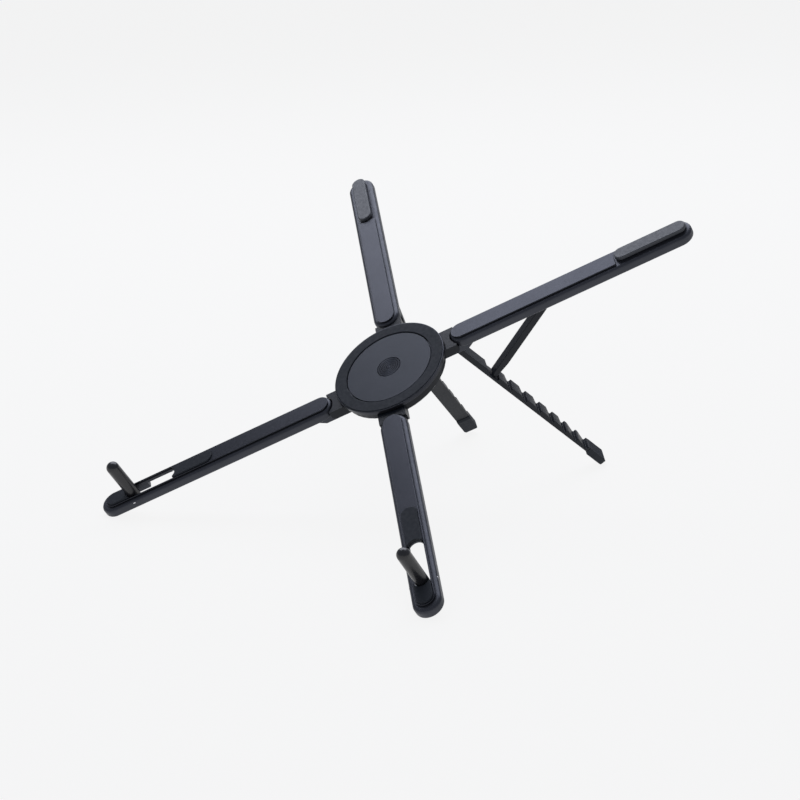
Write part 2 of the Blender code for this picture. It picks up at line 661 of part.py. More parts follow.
def make_rear_leg(name, frame):
    rail_place = empty(name + "_rail_hinge", frame, HINGE, (0, RAIL_ANGLE, 0))
    rail = plate(name + "_rail", rail_outline(), -RAIL_HALF_WIDTH - 1, RAIL_HALF_WIDTH + 1, "y")
    rail.parent = rail_place
    plan = plate(name + "_rail_plan", rail_plan(), -6, 6)
    bore = cylinder(name + "_rail_bore", HINGE_PIN_RADIUS + 0.25, -8, 8, "y")
    combine(rail, plan, "INTERSECT")
    combine(rail, bore)
    finish(rail, rail_place, DARK_PLASTIC)
    foot = plate(name + "_rail_foot", foot_outline(), -RAIL_HALF_WIDTH - 1, RAIL_HALF_WIDTH + 1,
                 "y")
    foot.parent = rail_place
    combine(foot, plate(name + "_rail_foot_plan", foot_plan(), -6, 6), "INTERSECT")
    finish(foot, rail_place, RUBBER)

    strut_place = empty(name + "_strut_hinge", frame, (STRUT_R, 0, STRUT_Z),
                        (0, 2 * RAIL_ANGLE, 0))
    strut = plate(name + "_strut", strut_outline(), -STRUT_HALF_WIDTH, STRUT_HALF_WIDTH, "y")
    strut.parent = strut_place
    combine(strut, cylinder(name + "_strut_bore", STRUT_PIN_RADIUS + 0.2, -5, 5, "y"))
    finish(strut, strut_place, DARK_PLASTIC)
    pin(name + "_strut_pin", frame, STRUT_PIN_RADIUS, STRUT_PIN_HALF_LENGTH, STRUT_R, STRUT_Z,
        STEEL)


def rear_plateau_outline():
    """Plan view of a rear plateau: the full width up to the pad, then a narrower bed under it."""
    step, bed = REAR_PAD_START - 0.6, REAR_PAD_HALF_WIDTH - 0.3
    return (arc((REAR_PAD_END - 0.3 - bed, 0), bed, -90, 90, 10)
            + [(step, bed), (step, PLATEAU_HALF_WIDTH)]
            + arc((PLATEAU_START + PLATEAU_HALF_WIDTH, 0), PLATEAU_HALF_WIDTH, 90, 270, 10)
            + [(step, -PLATEAU_HALF_WIDTH), (step, -bed)])


def make_rear_arm(name, frame):
    pin_bore = cylinder(name + "_strut_pin_bore", STRUT_PIN_RADIUS + 0.2,
                        -STRUT_PIN_HALF_LENGTH - 0.2, STRUT_PIN_HALF_LENGTH + 0.2, "y",
                        STRUT_R, STRUT_Z)
    make_arm(name, frame, REAR_ARM_END, REAR_CHANNEL_END, REAR_CHANNEL_ROOF,
             rear_plateau_outline(), [pin_bore])
    pad = plate(name + "_pad", stadium(REAR_PAD_START, REAR_PAD_END, REAR_PAD_HALF_WIDTH),
                PLATEAU_TOP + GAP, REAR_PAD_TOP)
    round_edges(pad, at_height(REAR_PAD_TOP), 0.5, 2)
    finish(pad, frame, RUBBER)
    make_rear_leg(name, frame)


for arm_name, arm_frame in arm_frames.items():
    if arm_name in FRONT:
        make_front_arm(arm_name, arm_frame)
    else:
        make_rear_arm(arm_name, arm_frame)
    make_hinge(arm_name, arm_frame)


# ---------------------------------------------------------------- set on the table
def world_points(names):
    graph = bpy.context.evaluated_depsgraph_get()
    points = []
    for name in names:
        evaluated = bpy.data.objects[name].evaluated_get(graph)
        mesh = evaluated.to_mesh()
        points += [evaluated.matrix_world @ vert.co for vert in mesh.vertices]
        evaluated.to_mesh_clear()
    return points


def lowest(points, tilt):
    """The point that is lowest once the deck's rear is lifted by the tilt."""
    return min(points, key=lambda point: point.y * math.sin(tilt) + point.z * math.cos(tilt))


def table_tilt():
    """The tilt at which the front feet and the rail feet are equally low."""
    front = world_points(["front_left_foot", "front_left_arm"])
    rear = world_points(["rear_left_rail_foot"])
    tilt = math.radians(33)
    for _ in range(12):
        fore, aft = lowest(front, tilt), lowest(rear, tilt)
        tilt = math.atan2(fore.z - aft.z, aft.y - fore.y)
    return tilt


bpy.context.view_layer.update()
deck.rotation_euler = (table_tilt(), 0, 0)
bpy.context.view_layer.update()
corners = world_points([piece.name for piece in stand.objects if piece.type == "MESH"])
xs, ys, zs = zip(*corners)
deck.location = (-(min(xs) + max(xs)) / 2, -(min(ys) + max(ys)) / 2, -min(zs))
bpy.context.view_layer.update()
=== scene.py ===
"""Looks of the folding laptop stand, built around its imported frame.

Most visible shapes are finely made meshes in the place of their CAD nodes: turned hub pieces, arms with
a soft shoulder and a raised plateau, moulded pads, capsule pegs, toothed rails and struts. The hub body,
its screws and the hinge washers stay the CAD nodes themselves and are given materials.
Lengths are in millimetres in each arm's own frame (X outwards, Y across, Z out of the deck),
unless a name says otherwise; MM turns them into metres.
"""
import json
import math

import bmesh
import bpy
from mathutils import Matrix, Vector


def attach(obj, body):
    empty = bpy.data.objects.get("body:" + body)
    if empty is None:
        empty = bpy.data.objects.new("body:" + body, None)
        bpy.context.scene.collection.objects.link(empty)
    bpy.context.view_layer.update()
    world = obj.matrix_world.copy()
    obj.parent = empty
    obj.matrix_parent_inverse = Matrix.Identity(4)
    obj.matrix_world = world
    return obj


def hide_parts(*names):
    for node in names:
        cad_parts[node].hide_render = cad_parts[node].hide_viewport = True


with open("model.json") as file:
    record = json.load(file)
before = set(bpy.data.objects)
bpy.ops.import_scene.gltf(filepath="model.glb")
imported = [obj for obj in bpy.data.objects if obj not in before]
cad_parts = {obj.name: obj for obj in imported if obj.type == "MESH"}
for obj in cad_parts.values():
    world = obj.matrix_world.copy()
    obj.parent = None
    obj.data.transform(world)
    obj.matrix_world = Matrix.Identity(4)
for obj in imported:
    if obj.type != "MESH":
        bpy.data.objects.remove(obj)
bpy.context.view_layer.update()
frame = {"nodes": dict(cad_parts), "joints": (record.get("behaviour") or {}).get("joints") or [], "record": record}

MM = 0.001

# arm
ARM_START, FRONT_ARM_END, REAR_ARM_END, ARM_HALF_WIDTH = 33.9, 165.9, 164.0, 7.1
ARM_BOTTOM, SHOULDER, PLATEAU_TOP = -6.2, -1.3, -0.3
SHOULDER_ROUND, BOTTOM_ROUND = 1.7, 1.0
PLATEAU_HALF_WIDTH, PLATEAU_START = 4.9, 34.9
PLATEAU_EDGE, UNDERCUT = 0.22, 0.22
BELOW_ARM, ABOVE_ARM = -12, 3       # how far shapes to cut with reach past the arm
CHANNEL_HALF_WIDTH, CHANNEL_START = 4.35, 44.0
REAR_CHANNEL_END, REAR_CHANNEL_ROOF = 155.0, -1.35
FRONT_CHANNEL_END, FRONT_CHANNEL_ROOF = 125.0, -2.3     # opens into the peg's slot
HINGE_R, HINGE_Z = 34.2, -7.06
HINGE_PIN_RADIUS, KNUCKLE_RADIUS = 1.1, 2.0
CHEEK_OUTER, CHEEK_END = 5.8, 44.5
MOUTH_TOP = -4.76

# hub
HUB_RADIUS, LIP_INNER_RADIUS, LIP_TOP = 30.0, 29.5, -0.35
PLATE_BOTTOM, PLATE_FLOOR = -2.4, -1.3
RING_INNER_RADIUS, INLAY_RADIUS, INLAY_TOP = 23.4, 23.0, -0.3
BUTTON_RADIUS = 6.2
RING_MIDDLE_RADIUS = 26.3    # where the mount on the ring lies
COVER_RADIUS, COVER_BOTTOM, COVER_THICKNESS = 22.0, -8.1, 0.6

# pads and feet of the arms
REAR_PAD_START, REAR_PAD_END, REAR_PAD_HALF_WIDTH, REAR_PAD_TOP = 124.3, 162.0, 3.8, 1.3
FRONT_PAD_START, OUTER_PAD_END, FRONT_PAD_HALF_WIDTH, FRONT_PAD_TOP = 101.0, 161.9, 4.1, 0.4
PAD_GAP = 0.12
PAD_HORN = 1.6      # how far the front pads reach round the slot's ends
PLATEAU_STEP = 0.6  # a rear plateau ends this far before its pad
BED_INSET = 0.3     # the bed under a rear pad is this much narrower than the pad
TIP_FOOT_START, TIP_FOOT_END, TIP_FOOT_HALF_WIDTH = 153.4, 164.4, 5.0
TIP_FOOT_TOP, TIP_FOOT_BOTTOM = -5.7, -6.7

# pegs
PEG_R, PEG_Z, PEG_RADIUS, PEG_LENGTH, PEG_PIN_RADIUS = 147.7, -3.0, 3.3, 24.6, 0.8
SLOT_START, SLOT_HALF_WIDTH = 122.6, 3.8
GRIP_END, GRIP_TOP = 139.5, -2.9    # one side of the slot is cut away for a finger
GRIP_OUTER, GRIP_INNER = -8.1, -2

# rail legs and struts
RAIL_ANGLE = 72.3
RAIL_HALF_WIDTH, RAIL_BACK, RAIL_TOP, RAIL_LENGTH = 4.0, -1.6, 1.35, 119.6
NOTCH_DEPTH, NOTCH_COUNT, NOTCH_FIRST, NOTCH_SECOND = 1.7, 8, 32.0, 42.3
NOTCH_PITCH, NOTCH_PITCH_STEP = 11.7, -0.6
FIRST_RAMP, FIRST_FLOOR, RAMP, FLOOR, LAST_RAMP = 3.4, 6.4, 4.2, 0.9, 6.4
FORK_END, EAR_INNER, EAR_OUTER, EAR_END = 6.4, 1.6, 3.35, 3.2
FOOT_START, FOOT_BACK, FOOT_CORNER = 105.1, -2.6, 3.0
STRUT_R, STRUT_Z, STRUT_HALF_WIDTH, STRUT_HALF_HEIGHT, STRUT_LENGTH = 88.8, -3.45, 2.7, 1.8, 55.7
STRUT_PIN_RADIUS, STRUT_PIN_HALF_LENGTH = 0.8, 5.9

FRONT = ("front_left", "front_right")
REAR = ("rear_left", "rear_right")


# ---------------------------------------------------------------- places
joints = {joint["name"]: joint for joint in frame["joints"]}
mounts = {mount["name"]: mount for mount in frame["record"]["mounts"]}
deck_normal = Vector(mounts["hub_ring_face"]["axis"]).normalized()


def place_from(along, across, origin):
    """A matrix with these X and Y directions and this origin, in metres."""
    turn = Matrix((along, across, along.cross(across))).transposed()
    place = turn.to_4x4()
    place.translation = origin
    return place


def arm_place(name):
    """The arm's own frame, from its fold joint: its axis is across the arm."""
    joint = joints[name + "_fold"]
    across = Vector(joint["axis"]).normalized()
    place = place_from(across.cross(deck_normal), across, (0, 0, 0))
    place.translation = Vector(joint["pos_m"]) - place @ (Vector((HINGE_R, 0, HINGE_Z)) * MM)
    return place


def turned_place(place, r, z, angle):
    """A frame on a hinge of the arm, turned down by an angle."""
    return (place @ Matrix.Translation(Vector((r, 0, z)) * MM)
            @ Matrix.Rotation(math.radians(angle), 4, "Y"))


ARMS = {name: arm_place(name) for name in FRONT + REAR}
rearward = deck_normal.cross(Vector((1, 0, 0)))
DECK = place_from(Vector((1, 0, 0)), rearward, Vector(mounts["hub_ring_face"]["pos_m"])
                  + rearward * RING_MIDDLE_RADIUS * MM)


# ---------------------------------------------------------------- materials
def noise(tree, scale, detail=2.0, space=None):
    """A noise texture in the object's own coordinates, scale in cycles per metre."""
    texture = tree.nodes.new("ShaderNodeTexNoise")
    texture.inputs["Scale"].default_value = scale
    texture.inputs["Detail"].default_value = detail
    tree.links.new(space or tree.nodes["place"].outputs["Object"], texture.inputs["Vector"])
    return texture.outputs["Fac"]


def span(tree, value, low, high, start=0.3, end=0.7):
    """Maps a value's start..end to low..high."""
    node = tree.nodes.new("ShaderNodeMapRange")
    node.inputs["From Min"].default_value = start
    node.inputs["From Max"].default_value = end
    node.inputs["To Min"].default_value = low
    node.inputs["To Max"].default_value = high
    tree.links.new(value, node.inputs["Value"])
    return node.outputs["Result"]


def ramp(tree, value, dark, light, start=0.3, end=0.7):
    """Maps a value to a colour between two colours."""
    node = tree.nodes.new("ShaderNodeValToRGB")
    node.color_ramp.elements[0].position = start
    node.color_ramp.elements[1].position = end
    node.color_ramp.elements[0].color = (*dark, 1)
    node.color_ramp.elements[1].color = (*light, 1)
    tree.links.new(value, node.inputs["Fac"])
    return node.outputs["Color"]


def bump(tree, height, strength, depth, below=None):
    """A bump layer of a depth in millimetres, over another one."""
    node = tree.nodes.new("ShaderNodeBump")
    node.inputs["Strength"].default_value = strength
    node.inputs["Distance"].default_value = depth * MM
    tree.links.new(height, node.inputs["Height"])
    if below is not None:
        tree.links.new(below, node.inputs["Normal"])
    return node.outputs["Normal"]


def radius_of(tree):
    """The distance from the object's Z axis, for turned pieces."""
    split = tree.nodes.new("ShaderNodeVectorMath")
    split.operation = "MULTIPLY"
    split.inputs[1].default_value = (1, 1, 0)
    tree.links.new(tree.nodes["place"].outputs["Object"], split.inputs[0])
    length = tree.nodes.new("ShaderNodeVectorMath")
    length.operation = "LENGTH"
    tree.links.new(split.outputs["Vector"], length.inputs[0])
    join = tree.nodes.new("ShaderNodeCombineXYZ")
    tree.links.new(length.outputs["Value"], join.inputs["X"])
    return join.outputs["Vector"]


def surface(name, dark, light, roughness, metallic, grain, grain_depth, patch=60.0, turned=False,
            specular=0.5, anisotropy=0.0):
    """One material: clouded colour and roughness, a fine grain, and turning marks if asked for."""
    made = bpy.data.materials.new(name)
    made.use_nodes = True
    tree = made.node_tree
    coordinates = tree.nodes.new("ShaderNodeTexCoord")
    coordinates.name = "place"
    shader = tree.nodes["Principled BSDF"]
    shader.inputs["Metallic"].default_value = metallic
    shader.inputs["Specular IOR Level"].default_value = specular
    if anisotropy:
        shader.inputs["Anisotropic"].default_value = anisotropy
        around = tree.nodes.new("ShaderNodeTangent")
        around.direction_type = "RADIAL"
        around.axis = "Z"
        tree.links.new(around.outputs["Tangent"], shader.inputs["Tangent"])
    clouds = noise(tree, patch, 4.0)
    tree.links.new(ramp(tree, clouds, dark, light), shader.inputs["Base Color"])
    tree.links.new(span(tree, noise(tree, patch * 9, 3.0), roughness[0], roughness[1]),
                   shader.inputs["Roughness"])
    normal = bump(tree, noise(tree, grain, 2.0), 0.6, grain_depth)
    if turned:
        lines = noise(tree, 3200.0, 1.0, radius_of(tree))
        normal = bump(tree, lines, 0.5, 0.004, normal)
    tree.links.new(normal, shader.inputs["Normal"])
    return made


GRAPHITE = surface("graphite_aluminium", (0.026, 0.028, 0.036), (0.031, 0.033, 0.042),
                   (0.29, 0.34), 0.75, 7000.0, 0.010)
FLANK = surface("graphite_flank", (0.034, 0.037, 0.047), (0.042, 0.045, 0.057),
                (0.36, 0.46), 0.60, 7000.0, 0.010)
SATIN = surface("satin_inlay", (0.018, 0.021, 0.028), (0.022, 0.025, 0.033),
                (0.36, 0.42), 0.55, 5200.0, 0.003, turned=True, specular=0.3)
BUTTON = surface("turned_button", (0.014, 0.016, 0.021), (0.019, 0.021, 0.027),
                 (0.34, 0.38), 0.95, 5200.0, 0.001, anisotropy=0.95)
DARK_PLASTIC = surface("dark_plastic", (0.005, 0.007, 0.011), (0.008, 0.010, 0.015),
                       (0.34, 0.46), 0.0, 5200.0, 0.012, specular=0.22)
GLOSS_PLASTIC = surface("gloss_peg", (0.009, 0.009, 0.011), (0.014, 0.014, 0.017),
                        (0.22, 0.30), 0.0, 4200.0, 0.006, specular=0.5)
RUBBER = surface("soft_rubber", (0.013, 0.016, 0.021), (0.018, 0.021, 0.028),
                 (0.62, 0.78), 0.0, 4600.0, 0.020, specular=0.22)
SATIN_RUBBER = surface("satin_rubber", (0.030, 0.034, 0.043), (0.038, 0.042, 0.052),
                       (0.44, 0.54), 0.0, 4600.0, 0.012)
STEEL = surface("polished_steel", (0.42, 0.42, 0.44), (0.58, 0.58, 0.60),
                (0.18, 0.30), 1.0, 3000.0, 0.004, turned=True)
DARK_STEEL = surface("blackened_steel", (0.040, 0.040, 0.045), (0.070, 0.070, 0.076),
                     (0.30, 0.42), 0.9, 3000.0, 0.004, turned=True)


# ---------------------------------------------------------------- outlines and meshes
def arc(centre, radius, start, end, steps):
    points = []
    for step in range(steps + 1):
        angle = math.radians(start + (end - start) * step / steps)
        points.append((centre[0] + radius * math.cos(angle), centre[1] + radius * math.sin(angle)))
    return points


def strip(start, end, half_width, inset=0.0, start_corner=None, end_corner=None, steps=10):
    """A strip along X with round corners, the same number of points whatever its corners."""
    low, high, half = start + inset, end - inset, half_width - inset
    near = half if start_corner is None else max(start_corner - inset, 0.02)
    far = half if end_corner is None else max(end_corner - inset, 0.02)
    return (arc((high - far, far - half), far, -90, 0, steps)
            + arc((high - far, half - far), far, 0, 90, steps)
            + arc((low + near, half - near), near, 90, 180, steps)
            + arc((low + near, near - half), near, 180, 270, steps))


def piece(name, bm, place, shader, smooth_angle=35.0):
    """Turns a bmesh in millimetres into an object in its place."""
    bmesh.ops.remove_doubles(bm, verts=bm.verts, dist=1e-4)
    bmesh.ops.dissolve_degenerate(bm, edges=bm.edges, dist=1e-5)
    bmesh.ops.recalc_face_normals(bm, faces=bm.faces)
    mesh = bpy.data.meshes.new(name)
    bm.to_mesh(mesh)
    bm.free()
    mesh.transform(Matrix.Scale(MM, 4))
    mesh.materials.append(shader)
    mesh.shade_smooth()
    mesh.set_sharp_from_angle(angle=math.radians(smooth_angle))
    made = bpy.data.objects.new(name, mesh)
    bpy.context.scene.collection.objects.link(made)
    made.matrix_world = place
    return made


def add_loft(bm, loops):
    """Quads between loops of equal length, and a flat cap on the first and on the last."""
    rows = [[bm.verts.new(point) for point in loop] for loop in loops]
    count = len(rows[0])
    for upper, lower in zip(rows, rows[1:]):
        for i in range(count):
            j = (i + 1) % count
            bm.faces.new((upper[i], upper[j], lower[j], lower[i]))
    bm.faces.new(rows[0])
    bm.faces.new(rows[-1])


def loops_of(outline_at, profile):
    """Loops in space from a profile of (inset, height) and a function from inset to outline."""
    return [[(x, y, height) for x, y in outline_at(inset)] for inset, height in profile]


def fillet_profile(radius, inset, height, start, end, steps=6):
    """Points (inset, height) on a quarter round whose centre is at (inset, height)."""
    return arc((inset, height), radius, start, end, steps)


def add_turned(bm, profile, steps=128):
    """A profile of (radius, height) from axis to axis, turned about Z."""
    rows = []
    for step in range(steps):
        angle = math.tau * step / steps
        rows.append([bm.verts.new((r * math.cos(angle), r * math.sin(angle), z))
                     for r, z in profile])
    for step in range(steps):
        here, there = rows[step], rows[(step + 1) % steps]
        for i in range(len(profile) - 1):
            corners = [here[i], there[i], there[i + 1], here[i + 1]]
            bm.faces.new(corners)


def add_slab(bm, outline, low, high, along="y"):
    """A flat outline with a thickness, across the arm (outline in X and Z) or upright."""
    def at(point, level):
        return (point[0], level, point[1]) if along == "y" else (point[0], point[1], level)
    sides = [[bm.verts.new(at(point, level)) for point in outline] for level in (low, high)]
    count = len(outline)
    for i in range(count):
        j = (i + 1) % count
        bm.faces.new((sides[0][i], sides[0][j], sides[1][j], sides[1][i]))
    bm.faces.new(sides[0])
    bm.faces.new(sides[1])


def rounded(points, radius, steps=4):
    """An outline whose corners are arcs: a point may carry its own radius as a third value."""
    result = []
    count = len(points)
    for i, point in enumerate(points):
        corner = Vector(point[:2])
        size = point[2] if len(point) > 2 else radius
        before = Vector(points[i - 1][:2]) - corner
        after = Vector(points[(i + 1) % count][:2]) - corner
        angle = before.angle(after)
        reach = size / math.tan(angle / 2) if size > 0 else 0
        reach = min(reach, before.length * 0.48, after.length * 0.48)
        if reach <= 0.001:
            result.append(tuple(corner))
            continue
        first = corner + before.normalized() * reach
        last = corner + after.normalized() * reach
        for step in range(steps + 1):
            t = step / steps
            result.append(tuple(first * (1 - t) ** 2 + corner * 2 * t * (1 - t) + last * t ** 2))
    return result


def cut(target, bm, operation="DIFFERENCE"):
    """Cuts a shape out of a piece, in the piece's own frame."""
    tool = piece("tool", bm, target.matrix_world, target.data.materials[0])
    change = target.modifiers.new("cut", "BOOLEAN")
    change.operation = operation
    change.solver = "EXACT"
    change.object = tool
    settle(target)
    bpy.data.objects.remove(tool, do_unlink=True)


def settle(target):
    """Makes the modifiers' result the piece's own mesh."""
    bpy.context.view_layer.update()
    evaluated = target.evaluated_get(bpy.context.evaluated_depsgraph_get())
    mesh = bpy.data.meshes.new_from_object(evaluated)
    mesh.name = target.name
    target.modifiers.clear()
    target.data = mesh


def soften(target, width, segments=2, angle=38.0, smooth_angle=50.0):
    """Small round edges wherever two faces meet at more than the angle."""
    change = target.modifiers.new("edge", "BEVEL")
    change.width = width * MM
    change.segments = segments
    change.limit_method = "ANGLE"
    change.angle_limit = math.radians(angle)
    change.miter_outer = "MITER_ARC"
    change.use_clamp_overlap = True
    settle(target)
    target.data.shade_smooth()
    target.data.set_sharp_from_angle(angle=math.radians(smooth_angle))
    return keep_flat(target)


def keep_flat(target):
    """Lets large flat faces stay flat beside their round edges."""
    weigh = target.modifiers.new("normals", "WEIGHTED_NORMAL")
    weigh.keep_sharp = True
    settle(target)
    return target


def stands_for(target, body, slot, *nodes):
    keep_flat(target)
    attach(target, body)
    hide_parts(*nodes)
    return target


# ---------------------------------------------------------------- hub
def make_turned(name, profile, place, shader, node, slot, steps=128, body="hub"):
    bm = bmesh.new()
    add_turned(bm, profile, steps)
    return stands_for(piece(name, bm, place, shader), body, slot, node)


def make_hub():
    edge = 0.22
    make_turned("top_plate", [
        (0, PLATE_FLOOR), (LIP_INNER_RADIUS, PLATE_FLOOR)]
        + [(LIP_INNER_RADIUS, LIP_TOP - 0.1), (LIP_INNER_RADIUS + 0.08, LIP_TOP)]
        + arc((HUB_RADIUS - edge, LIP_TOP - edge), edge, 90, 0, 5)
        + arc((HUB_RADIUS - edge, PLATE_BOTTOM + edge), edge, 0, -90, 5)
        + [(0, PLATE_BOTTOM)], DECK, GRAPHITE, "hub_top_plate", "graphite_aluminium", 160)
    soft = 0.35
    outer = LIP_INNER_RADIUS - 0.12
    inner = RING_INNER_RADIUS
    make_turned("ring_pad", [(inner, PLATE_FLOOR)]
                + arc((inner + soft, -soft), soft, 180, 90, 5)
                + arc((outer - soft, -soft), soft, 90, 0, 5)
                + [(outer, PLATE_FLOOR), (inner, PLATE_FLOOR)],
                DECK, RUBBER, "hub_ring_pad", "soft_rubber", 160)
    hole = BUTTON_RADIUS + 0.18
    chamfer = 0.2
    make_turned("inlay_disc", [
        (hole, PLATE_FLOOR), (hole, INLAY_TOP - 0.12), (hole + 0.12, INLAY_TOP),
        (INLAY_RADIUS - chamfer, INLAY_TOP), (INLAY_RADIUS, INLAY_TOP - chamfer),
        (INLAY_RADIUS, PLATE_FLOOR), (hole, PLATE_FLOOR)], DECK, SATIN, "hub_inlay_disc",
        "satin_inlay", 160)
    profile = [(0, INLAY_TOP + 0.02), (0.9, INLAY_TOP)]
    groove_count, groove_pitch, groove_depth = 4, 1.2, 0.16
    for number in range(groove_count):
        at = 1.35 + groove_pitch * number
        profile += [(at - 0.22, INLAY_TOP), (at - 0.1, INLAY_TOP - groove_depth),
                    (at + 0.1, INLAY_TOP - groove_depth), (at + 0.22, INLAY_TOP)]
    profile += [(BUTTON_RADIUS - 0.15, INLAY_TOP), (BUTTON_RADIUS, INLAY_TOP - 0.15),
                (BUTTON_RADIUS, PLATE_FLOOR), (0, PLATE_FLOOR)]
    make_turned("button", profile, DECK, BUTTON, "hub_button", "blackened_steel", 96)
    top = COVER_BOTTOM + COVER_THICKNESS
    make_turned("bottom_cover", [
        (0, top), (COVER_RADIUS, top), (COVER_RADIUS, COVER_BOTTOM + 0.3)]
        + arc((COVER_RADIUS - 0.3, COVER_BOTTOM + 0.3), 0.3, 0, -90, 4)
        + [(COVER_RADIUS - 2.2, COVER_BOTTOM), (COVER_RADIUS - 2.5, COVER_BOTTOM + 0.25),
           (COVER_RADIUS - 2.9, COVER_BOTTOM + 0.25), (COVER_RADIUS - 3.2, COVER_BOTTOM),
           (0, COVER_BOTTOM)], DECK, RUBBER, "hub_bottom_cover", "soft_rubber", 128)
    dress("hub_body", DARK_PLASTIC, 0.25)


def dress(node, shader, edge=0.0):
    """Gives a CAD node its material, and small round edges if asked for."""
    target = frame["nodes"][node]
    target.data.materials.clear()
    target.data.materials.append(shader)
    if edge:
        change = target.modifiers.new("edge", "BEVEL")
        change.width = edge * MM
        change.segments = 2
        change.limit_method = "ANGLE"
        change.angle_limit = math.radians(40)
        change.use_clamp_overlap = True


make_hub()
for number in range(4):
    dress("hub_screw_%d" % (number + 1), DARK_STEEL)


# ---------------------------------------------------------------- arms
def shell_profile():
    """Section of the arm from the middle of its top, over the shoulder, to its underside."""
    profile = fillet_profile(SHOULDER_ROUND, SHOULDER_ROUND, SHOULDER - SHOULDER_ROUND, 90, 180)
    return profile + fillet_profile(BOTTOM_ROUND, BOTTOM_ROUND, ARM_BOTTOM + BOTTOM_ROUND, 180,
                                    270, 4)


def add_raised(bm, outline_at, low, high, edge, undercut=0.0, steps=3):
    """A raised block with a round upper edge and an undercut foot."""
    profile = fillet_profile(edge, edge, high - edge, 90, 180, steps)
    if undercut:
        profile += [(0, low + 2 * undercut), (undercut, low + 0.6 * undercut)]
    profile.append((undercut, low - 0.1))
    add_loft(bm, loops_of(outline_at, profile))


def slot_tool(margin=0.0):
    """The peg's slot as a shape to cut with, larger all round by the margin."""
    bm = bmesh.new()
    add_slab(bm, strip(SLOT_START - margin, PEG_R + SLOT_HALF_WIDTH + margin,
                       SLOT_HALF_WIDTH + margin, steps=14),
             BELOW_ARM, ABOVE_ARM, "z")
    return bm


def make_arm(name, end, channel_end, channel_roof, front):
    """The arm's hollow shell, its plateau and its hinge cheeks."""
    place = ARMS[name]
    bm = bmesh.new()
    add_loft(bm, loops_of(lambda inset: strip(ARM_START, end, ARM_HALF_WIDTH, inset, steps=14),
                          shell_profile()))
    arm = piece(name + "_shell", bm, place, FLANK)
    bm = bmesh.new()
    add_slab(bm, strip(CHANNEL_START, channel_end, CHANNEL_HALF_WIDTH, 0, 0.6, 0.6, 4),
             BELOW_ARM, channel_roof, "z")
    cut(arm, bm)
    bm = bmesh.new()
    add_slab(bm, strip(HINGE_R - 6, CHANNEL_START + 0.5, CHANNEL_HALF_WIDTH, 0, 0.1, 0.1, 2),
             BELOW_ARM, MOUTH_TOP, "z")
    cut(arm, bm)
    if front:
        cut(arm, slot_tool())
        bm = bmesh.new()
        add_slab(bm, [(SLOT_START, GRIP_OUTER), (GRIP_END, GRIP_OUTER), (GRIP_END, GRIP_INNER),
                      (SLOT_START, GRIP_INNER)], BELOW_ARM, GRIP_TOP, "z")
        cut(arm, bm)
        bm = bmesh.new()
        add_slab(bm, strip(TIP_FOOT_START - PAD_GAP, TIP_FOOT_END + PAD_GAP,
                           TIP_FOOT_HALF_WIDTH + PAD_GAP, steps=12),
                 BELOW_ARM, TIP_FOOT_TOP, "z")
        cut(arm, bm)
    soften(arm, 0.16)
    stands_for(arm, name + "_arm_body", "graphite_aluminium", name + "_arm")

    bm = bmesh.new()
    rim = PLATEAU_HALF_WIDTH - FRONT_PAD_HALF_WIDTH
    plateau_end = OUTER_PAD_END + rim if front else REAR_PAD_START - PLATEAU_STEP
    add_raised(bm, lambda inset: strip(PLATEAU_START, plateau_end, PLATEAU_HALF_WIDTH, inset,
                                       end_corner=None if front else 0.5, steps=12),
               SHOULDER, PLATEAU_TOP, PLATEAU_EDGE, UNDERCUT)
    if not front:
        add_raised(bm, lambda inset: strip(REAR_PAD_START + BED_INSET, REAR_PAD_END - BED_INSET,
                                           REAR_PAD_HALF_WIDTH - BED_INSET, inset, steps=12),
                   SHOULDER, PLATEAU_TOP - 0.05, 0.05)
    top = piece(name + "_plateau", bm, place, GRAPHITE)
    if front:
        bm = bmesh.new()
        add_slab(bm, strip(FRONT_PAD_START - PAD_GAP, OUTER_PAD_END + PAD_GAP,
                           FRONT_PAD_HALF_WIDTH + PAD_GAP, steps=12),
                 SHOULDER + 0.02, ABOVE_ARM, "z")
        cut(top, bm)
        cut(top, slot_tool())
        soften(top, 0.12)
    else:
        keep_flat(top)
    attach(top, name + "_arm_body")

    bm = bmesh.new()
    for side in (-1, 1):
        low, high = sorted((side * (CHANNEL_HALF_WIDTH - 0.05), side * CHEEK_OUTER))
        outline = (arc((HINGE_R, HINGE_Z), KNUCKLE_RADIUS, 100, 270, 16)
                   + [(HINGE_R + 6, HINGE_Z - KNUCKLE_RADIUS), (CHEEK_END, ARM_BOTTOM + 0.1),
                      (CHEEK_END, ARM_BOTTOM + 1.2), (HINGE_R + 1.8, ARM_BOTTOM + 1.2),
                      (HINGE_R + 0.8, HINGE_Z + KNUCKLE_RADIUS)])
        add_slab(bm, outline, low, high)
    cheeks = soften(piece(name + "_cheeks", bm, place, FLANK), 0.2)
    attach(cheeks, name + "_arm_body")


def make_pin(name, place, r, z, radius, half_length, shader, slot, body, node):
    """A rivet with a small round edge, across the arm."""
    edge = 0.15
    profile = ([(0, half_length)] + arc((radius - edge, half_length - edge), edge, 90, 0, 3)
               + arc((radius - edge, edge - half_length), edge, 0, -90, 3) + [(0, -half_length)])
    across = (place @ Matrix.Translation(Vector((r, 0, z)) * MM)
              @ Matrix.Rotation(math.radians(90), 4, "X"))
    make_turned(name, profile, across, shader, node, slot, 32, body)


def make_pad(name, outline_at, low, high, edge, place, body, node, shader=RUBBER):
    bm = bmesh.new()
    profile = fillet_profile(edge, edge, high - edge, 90, 180, 5) + [(0, low)]
    add_loft(bm, loops_of(outline_at, profile))
    return stands_for(piece(name, bm, place, shader), body, "soft_rubber", node)


